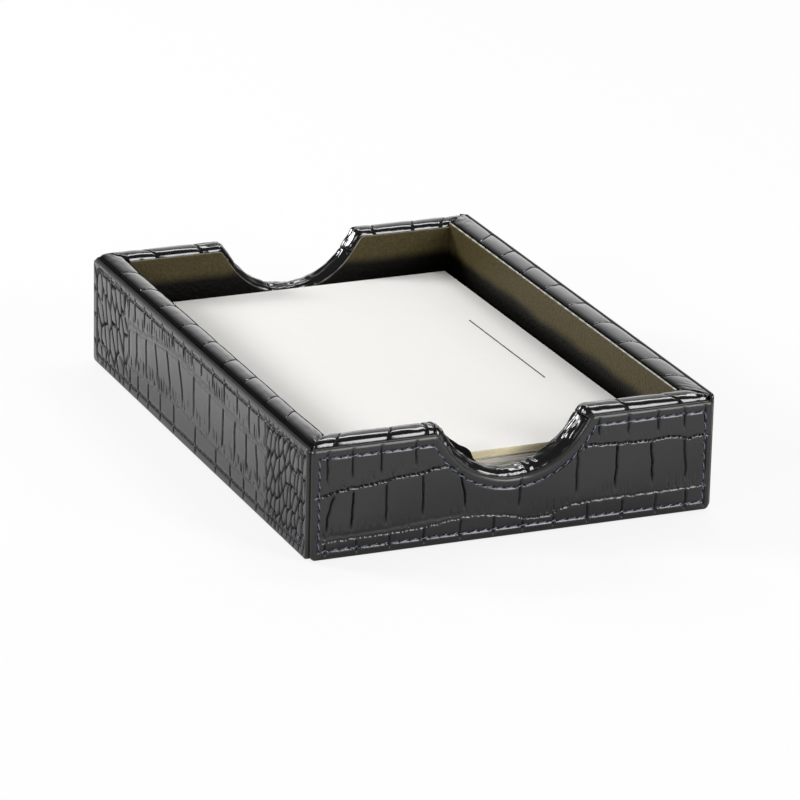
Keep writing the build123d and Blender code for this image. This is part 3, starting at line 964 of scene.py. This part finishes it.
def glazed_leather(name, colour, roughness, coat, edge_colour=None):
    """Calfskin dyed black, plate-embossed and glazed: a satin sheet whose embossed lines stay
    unglazed and dull, their colour darkened as painted shade, with pores near half a millimetre
    and, where it is cut, a dressed matt edge."""
    made, tree, place = start_material(name)
    cloud = add(tree, "TexNoise", {"Vector": place, "Scale": per_metre(18), "Detail": 3.0})
    pores = add(tree, "TexNoise", {"Vector": place, "Scale": per_metre(0.7), "Detail": 2.0})
    crease = add(tree, "Attribute", {}, "Fac", attribute_name="crease")
    # Painted shade: the embossed lines, stitch holes and wrinkles darken the colour to a quarter
    tone = add(tree, "Mix", {0: crease, 6: rgba(colour), 7: rgba(colour, 0.25)}, 2,
               data_type="RGBA")
    sheen = add(tree, "MapRange", {"Value": cloud, "From Min": 0.3, "From Max": 0.7,
                                   "To Min": roughness - 0.04, "To Max": roughness + 0.05})
    rough = add(tree, "Mix", {0: crease, 2: sheen, 3: 0.85})
    if edge_colour is not None:
        edge = add(tree, "Attribute", {}, "Fac", attribute_name="edge")
        tone = add(tree, "Mix", {0: edge, 6: tone, 7: rgba(edge_colour)}, 2, data_type="RGBA")
        rough = add(tree, "Mix", {0: edge, 2: rough, 3: 0.65})
    grain = add(tree, "Bump", {"Strength": 0.25, "Distance": 0.00006, "Height": pores})
    return surfaced(made, {"Base Color": tone, "Roughness": rough, "IOR": 1.46, "Normal": grain,
                           "Coat Weight": coat, "Coat Roughness": 0.12})


def shaded_unglazed_leather(name, colour, roughness, shine):
    """The sides and the bottom of an embossed line, out of the glaze's reach: matt fibre, the
    duller the deeper, its colour darkened as painted shade."""
    return mottled(name, colour, 0.5, 2.0, 0.1, 0.5,
                   {"Roughness": roughness, "Specular IOR Level": shine})


def lining_leather(name, colour, edge_colour, painted_shade_colour="#030302"):
    """Thin smooth-plated lining leather, olive brown: a low sheen, a grain near a millimetre,
    colour darkened to black towards the floor as painted shade, and a pale cut edge that is partly
    a painted highlight."""
    made, tree, place = start_material(name)
    grain = add(tree, "TexVoronoi", {"Vector": place, "Scale": per_metre(1.1)})
    cloud = add(tree, "TexNoise", {"Vector": place, "Scale": per_metre(0.8), "Detail": 3.0})
    drift = add(tree, "TexNoise", {"Vector": place, "Scale": per_metre(25), "Detail": 2.0})
    tone = add(tree, "Mix", {0: cloud, 6: rgba(colour, 0.4), 7: rgba(colour, 1.6)}, 2,
               data_type="RGBA")
    # Painted shade: below a level that wanders round 26 to 30 mm up, the colour falls to near
    # black, standing in for the shade above the sheets
    up = add(tree, "SeparateXYZ", {0: place}, "Z")
    level = add(tree, "Math", {0: drift, 1: 0.004, 2: up}, operation="MULTIPLY_ADD")
    depth = add(tree, "MapRange", {"Value": level, "From Min": 0.0264, "From Max": 0.0302,
                                   "To Min": 0.02, "To Max": 1.0}, interpolation_type="SMOOTHSTEP")
    black = rgba(linear(painted_shade_colour))
    dyed = add(tree, "Mix", {0: depth, 6: black, 7: tone}, 2, data_type="RGBA")
    edge = add(tree, "Attribute", {}, "Fac", attribute_name="edge")
    bead = add(tree, "Mix", {0: edge, 6: dyed, 7: rgba(edge_colour)}, 2, data_type="RGBA")
    bump = add(tree, "Bump", {"Strength": 0.6, "Distance": 0.0002, "Height": grain})
    return surfaced(made, {"Base Color": bead, "Normal": bump, "Roughness": 0.48,
                           "Specular IOR Level": 0.12})


def sewing_thread(name, colour):
    """Bonded polyester thread, blue: waxed, so a hard bluish light sits on top of each stitch."""
    return mottled(name, colour, 0.5, 2.0, 0.1, 2.0,
                   {"Roughness": 0.25, "IOR": 1.6, "Specular Tint": rgba(linear("#eff6ff"))})


def note_paper(name, colour):
    """Uncoated wove paper: matt off-white with a faint cloudy formation a few millimetres wide."""
    return mottled(name, colour, 4, 5.0, 0.97, 1.0, {"Roughness": 0.8, "IOR": 1.45})


def cut_paper(name, colour):
    """Guillotined edge of paper: each sheet a slightly different cream, dust along the cut."""
    made, tree, place = start_material(name)
    shade = add(tree, "Attribute", {}, "Fac", attribute_name="shade")
    dust = add(tree, "TexNoise", {"Vector": place, "Scale": per_metre(1.5), "Detail": 3.0})
    sheet = add(tree, "Mix", {0: shade, 6: rgba(colour, 0.84), 7: rgba(colour)}, 2,
                data_type="RGBA")
    tone = add(tree, "Mix", {0: dust, 6: sheet, 7: rgba(colour)}, 2, data_type="RGBA")
    return surfaced(made, {"Base Color": tone, "Roughness": 0.85, "IOR": 1.45})


def printing_ink(name, colour):
    """Thin offset ink on paper: dark grey, matt, slightly broken by the paper's tooth."""
    return mottled(name, colour, 0.5, 3.0, 1.0, 1.8, {"Roughness": 0.7})


def grey_board(name, colour):
    """Pressed board: dull, with flecks of fibre about a millimetre long."""
    return mottled(name, colour, 1.2, 6.0, 0.6, 1.3, {"Roughness": 0.85})


def base_cloth(name, colour):
    """Brushed cotton cloth, black: threads 1.78 mm apart, coarser than the real 0.4 mm to show."""
    made, tree, place = start_material(name)
    thread = {"Vector": place, "Scale": BAND * per_metre(1.78), "Distortion": 1.0}
    warp, weft = (add(tree, "TexWave", thread, "Fac", bands_direction=axis) for axis in "XY")
    weave = add(tree, "Math", {0: warp, 1: weft}, operation="MAXIMUM")
    tone = add(tree, "Mix", {0: weave, 6: rgba(colour, 0.4), 7: rgba(colour, 1.7)}, 2,
               data_type="RGBA")
    bump = add(tree, "Bump", {"Strength": 0.5, "Distance": 0.0001, "Height": weave})
    return surfaced(made, {"Base Color": tone, "Normal": bump, "Roughness": 0.9,
                           "Sheen Weight": 0.2})


def dress(node, finish):
    """Gives a CAD node its finish."""
    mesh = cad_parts[node].data
    mesh.materials.clear()
    mesh.materials.append(finish)


# Operators


class TRAY_OT_panels(bpy.types.Operator):
    """Makes the four embossed leather panels"""
    bl_idname = "memo_tray.panels"
    bl_label = "Embossed panels"

    def execute(self, context):
        sizes, colours = context.scene.tray_sizes, context.scene.tray_colours
        leather = colours.leather
        # The second and third finishes paint shade into the embossed lines
        finishes = [glazed_leather("black_embossed_calfskin", leather, 0.2, 0.48, colours.edge),
                    shaded_unglazed_leather("thinly_glazed_calfskin_with_painted_shade", leather, 0.5, 0.36),
                    shaded_unglazed_leather("unglazed_calfskin_with_painted_shade", leather, 0.9, 0.08)]
        for number, wall in enumerate(WALLS):
            put(wall.name + "_embossed_panel", finishes, "tray", "embossed_leather",
                [wall.name + "_panel_leather"], *embossed_panel(wall, sizes, 100 * (number + 1)))
        return {"FINISHED"}


class TRAY_OT_sewing(bpy.types.Operator):
    """Makes the stitches of the four panels"""
    bl_idname = "memo_tray.sewing"
    bl_label = "Sewing"

    def execute(self, context):
        sizes, colours = context.scene.tray_sizes, context.scene.tray_colours
        ends = sewing_thread("blue_polyester_thread", colours.thread)
        # Painted shade: the side panels get a darker copy of the thread
        sides = sewing_thread("navy_thread_with_painted_shade", colours.shaded_side_thread)
        for wall in WALLS:
            put(wall.name + "_sewing", [ends if wall.notched else sides], "tray",
                "embossed_leather", [], *stitches(wall, sizes))
        return {"FINISHED"}


class TRAY_OT_rims(bpy.types.Operator):
    """Makes the four rolled leather rims"""
    bl_idname = "memo_tray.rims"
    bl_label = "Rolled rims"

    def execute(self, context):
        sizes, leather = context.scene.tray_sizes, context.scene.tray_colours.rim
        # The second and third finishes paint shade into the creases, the shaded feet of the rims
        # and the gathered flap
        finishes = [glazed_leather("black_glazed_rim_calfskin", leather, 0.14, 0.8),
                    shaded_unglazed_leather("black_thinly_glazed_rim_calfskin", leather, 0.6, 0.26),
                    shaded_unglazed_leather("unglazed_rim_calfskin_with_painted_shade", leather, 0.9, 0.08)]
        for number, wall in enumerate(WALLS):
            put(wall.name + "_rolled_rim", finishes, "tray", "rim_leather", [wall.name + "_rim"],
                *rolled_rim(wall, sizes, 1000 * (number + 1)))
        return {"FINISHED"}


class TRAY_OT_linings(bpy.types.Operator):
    """Makes the linings of the walls and dresses the floor"""
    bl_idname = "memo_tray.linings"
    bl_label = "Linings"

    def execute(self, context):
        colours = context.scene.tray_colours
        finish = lining_leather("olive_lining_leather", colours.lining, colours.lining_edge)
        for wall in WALLS:
            put(wall.name + "_lining_leather", [finish], "tray", "lining_leather",
                [wall.name + "_lining"], *lining_sheet(wall))
        dress("floor_lining", finish)
        return {"FINISHED"}


class TRAY_OT_notes(bpy.types.Operator):
    """Makes the two piles of note sheets and the rule printed on the top one"""
    bl_idname = "memo_tray.notes"
    bl_label = "Note sheets"

    def execute(self, context):
        sizes, colours = context.scene.tray_sizes, context.scene.tray_colours
        paper = note_paper("wove_note_paper", colours.paper)
        for name, foot, top, below, turn, edge, short in (
                ("lower", LOWER_NOTES_FOOT, UPPER_NOTES_FOOT, 0, 0, colours.lower_edge, 2),
                ("upper", UPPER_NOTES_FOOT, UPPER_NOTES_TOP, RULE_STANDS, SHEET_TURN,
                 colours.sheet_edge, 0)):
            count = int(round((top - foot) / (sizes.sheet / MM)))
            put(name + "_note_sheets", [paper, cut_paper(name + "_cut_paper_edge", edge)],
                name + "_sheets", "note_paper", [name + "_notes"],
                *sheet_pile(foot, top - below, count, turn, short))
        put("printed_rule", [printing_ink("grey_printing_ink", colours.rule)], "upper_sheets",
            "note_paper", [], *printed_rule(UPPER_NOTES_TOP))
        return {"FINISHED"}


class TRAY_OT_boards(bpy.types.Operator):
    """Dresses the boards, the backings and the base cloth"""
    bl_idname = "memo_tray.boards"
    bl_label = "Boards and base"

    def execute(self, context):
        colours = context.scene.tray_colours
        board = grey_board("pressed_grey_board", colours.board)
        edge = grey_board("olive_backing_board", colours.edge)
        dyed = grey_board("black_backing_board", colours.leather)
        for wall in WALLS:
            dress(wall.name + "_core", board)
            dress(wall.name + "_panel_backing", edge if EDGE_DRESSING_AND_SHADE[wall.name] > 0.5 else dyed)
        dress("base_board", board)
        dress("base_cover", base_cloth("black_base_cloth", colours.cloth))
        return {"FINISHED"}


# Camera: its place in metres, its heading, dip and roll in degrees, its lens, sensor and reach
CAMERA_PLACE = (-0.547162, -1.290318, 0.517083)
CAMERA_TURN = (23.0887, 19.8796, -1.3082)
CAMERA_LENS, SENSOR, CAMERA_REACH = 224.354, 36.0, 50

# Soft boxes: name, place, size across and along in metres, radiance
LAMPS = [
    ("overhead_box", (0.46, 0.44, 1.08), (1.2, 0.18), 8.6),
    ("front_strip", (0.5, -1.2, 0.52), (0.28, 0.9), 9.5),
    ("corner_strip", (0.76, -1.08, 0.48), (0.3, 0.34), 10.5),
    ("left_box", (-1.0, 0.8, 0.62), (0.42, 0.36), 29.0),
    ("flank_box", (-1.1, -0.7, 0.62), (0.32, 0.28), 15.5),
]
# Wall behind and to the right of the tray, as the direction of its middle, the cosines of the
# angles from there at which its light begins and is full, the sines of the heights where its foot
# ends and where its top fades, and the share of its light left above
BACK_WALL, BACK_WALL_SPREAD = (0.62, 0.77, 0.14), (0.6, 0.97)
BACK_WALL_FOOT, BACK_WALL_TOP, BACK_WALL_ABOVE = (0.0, 0.08), (0.2, 0.38), 0.6
# Floor: half its width and its level in metres, how white the camera and the gloss see it
FLOOR_REACH, FLOOR_LEVEL, FLOOR_SEEN, FLOOR_IN_GLOSS = 4.0, -0.0002, 0.85, 0.05
WHITE = rgba(linear("#ffffff"))


class TRAY_OT_studio(bpy.types.Operator):
    """Makes the floor, the light and the camera"""
    bl_idname = "memo_tray.studio"
    bl_label = "Studio"

    def execute(self, context):
        studio, scene = context.scene.tray_studio, context.scene
        self.floor(studio, scene)
        scene.world = self.room(studio)
        for name, place, size, radiance in LAMPS:
            lamp = bpy.data.lights.new(name, "AREA")
            lamp.shape, lamp.size, lamp.size_y = "RECTANGLE", *size
            lamp.energy = studio.lamps * radiance * math.pi * size[0] * size[1]
            box = bpy.data.objects.new(name, lamp)
            box.location = place
            box.rotation_euler = (-Vector(place)).to_track_quat("-Z", "Y").to_euler()
            scene.collection.objects.link(box)
        self.camera(scene)
        scene.view_settings.view_transform = "Standard"
        return {"FINISHED"}

    def room(self, studio):
        """Dim room with a pale wall behind the tray and to its right."""
        world = bpy.data.worlds.new("room")
        tree = empty_tree(world)
        way = add(tree, "TexCoord", {}, "Generated")
        up = add(tree, "SeparateXYZ", {0: way}, "Z")
        facing = add(tree, "VectorMath", {0: way, 1: BACK_WALL}, "Value", operation="DOT_PRODUCT")
        wall, foot, top = (
            add(tree, "MapRange", {"Value": value, "From Min": begins, "From Max": ends,
                                   "To Min": first, "To Max": last},
                interpolation_type="SMOOTHSTEP")
            for value, (begins, ends), first, last in (
                (facing, BACK_WALL_SPREAD, 0.0, studio.wall), (up, BACK_WALL_FOOT, 0.0, 1.0),
                (up, BACK_WALL_TOP, 1.0, BACK_WALL_ABOVE)))
        span = add(tree, "Math", {0: foot, 1: top}, operation="MULTIPLY")
        total = add(tree, "Math", {0: wall, 1: span, 2: studio.sky}, operation="MULTIPLY_ADD")
        light = add(tree, "Background", {"Color": WHITE, "Strength": total})
        add(tree, "OutputWorld", {"Surface": light})
        return world

    def floor(self, studio, scene):
        """Flat pale floor, seen nearly white by the camera, with a soft shadow kept."""
        mesh = bpy.data.meshes.new("studio_floor")
        corners = ((-1, -1), (1, -1), (1, 1), (-1, 1))
        mesh.from_pydata([(FLOOR_REACH * a, FLOOR_REACH * b, FLOOR_LEVEL) for a, b in corners], [],
                         [(0, 1, 2, 3)])
        made = bpy.data.materials.new("pale_studio_floor")
        tree = empty_tree(made)
        paint = add(tree, "BsdfDiffuse", {"Color": rgba(studio.floor)})
        glow = add(tree, "Emission", {"Color": WHITE, "Strength": 1.0})
        direct, gloss = (
            add(tree, "Math", {0: add(tree, "LightPath", {}, ray), 1: seen}, operation="MULTIPLY")
            for ray, seen in (("Is Camera Ray", FLOOR_SEEN), ("Is Glossy Ray", FLOOR_IN_GLOSS)))
        share = add(tree, "Math", {0: direct, 1: gloss}, operation="MAXIMUM")
        blend = add(tree, "MixShader", {0: share, 1: paint, 2: glow})
        add(tree, "OutputMaterial", {"Surface": blend})
        mesh.materials.append(made)
        floor = bpy.data.objects.new("studio_floor", mesh)
        scene.collection.objects.link(floor)

    def camera(self, scene):
        """Camera whose axes follow from its heading, dip and roll."""
        heading, dip, roll = (math.radians(v) for v in CAMERA_TURN)
        ahead = Vector((math.sin(heading) * math.cos(dip), math.cos(heading) * math.cos(dip),
                        -math.sin(dip)))
        right = ahead.cross(Vector((0, 0, 1))).normalized()
        down = ahead.cross(right)
        aside = math.cos(roll) * right + math.sin(roll) * down
        below = -math.sin(roll) * right + math.cos(roll) * down
        lens = bpy.data.cameras.new("camera")
        lens.lens, lens.sensor_width, lens.clip_end = CAMERA_LENS, SENSOR, CAMERA_REACH
        eye = bpy.data.objects.new("camera", lens)
        turn = Matrix((aside, -below, -ahead)).transposed()
        eye.matrix_world = Matrix.Translation(CAMERA_PLACE) @ turn.to_4x4()
        scene.collection.objects.link(eye)
        scene.camera = eye


OPERATORS = (TRAY_OT_panels, TRAY_OT_sewing, TRAY_OT_rims, TRAY_OT_linings, TRAY_OT_notes,
             TRAY_OT_boards, TRAY_OT_studio)
GROUPS = {"tray_sizes": TraySizes, "tray_colours": TrayColours, "tray_studio": TrayStudio}


class TRAY_PT_sidebar(bpy.types.Panel):
    """Lists the tray's pieces, sizes and colours"""
    bl_idname = "TRAY_PT_sidebar"
    bl_label = "Memo tray"
    bl_space_type = "VIEW_3D"
    bl_region_type = "UI"
    bl_category = "Memo tray"

    def draw(self, context):
        for operator in OPERATORS:
            self.layout.operator(operator.bl_idname)
        for group in (getattr(context.scene, key) for key in GROUPS):
            for key in group.__annotations__:
                self.layout.prop(group, key)


def register():
    """Adds the groups of properties, the operators and the sidebar."""
    for item in (*GROUPS.values(), *OPERATORS, TRAY_PT_sidebar):
        bpy.utils.register_class(item)
    for key, group in GROUPS.items():
        setattr(bpy.types.Scene, key, PointerProperty(type=group))


def unregister():
    """Takes them away again."""
    for key in GROUPS:
        delattr(bpy.types.Scene, key)
    for item in (TRAY_PT_sidebar, *reversed(OPERATORS), *GROUPS.values()):
        bpy.utils.unregister_class(item)


def main():
    """Makes every piece and the studio."""
    register()
    bpy.ops.memo_tray.panels()
    bpy.ops.memo_tray.sewing()
    bpy.ops.memo_tray.rims()
    bpy.ops.memo_tray.linings()
    bpy.ops.memo_tray.notes()
    bpy.ops.memo_tray.boards()
    bpy.ops.memo_tray.studio()


if __name__ == "__main__":
    main()
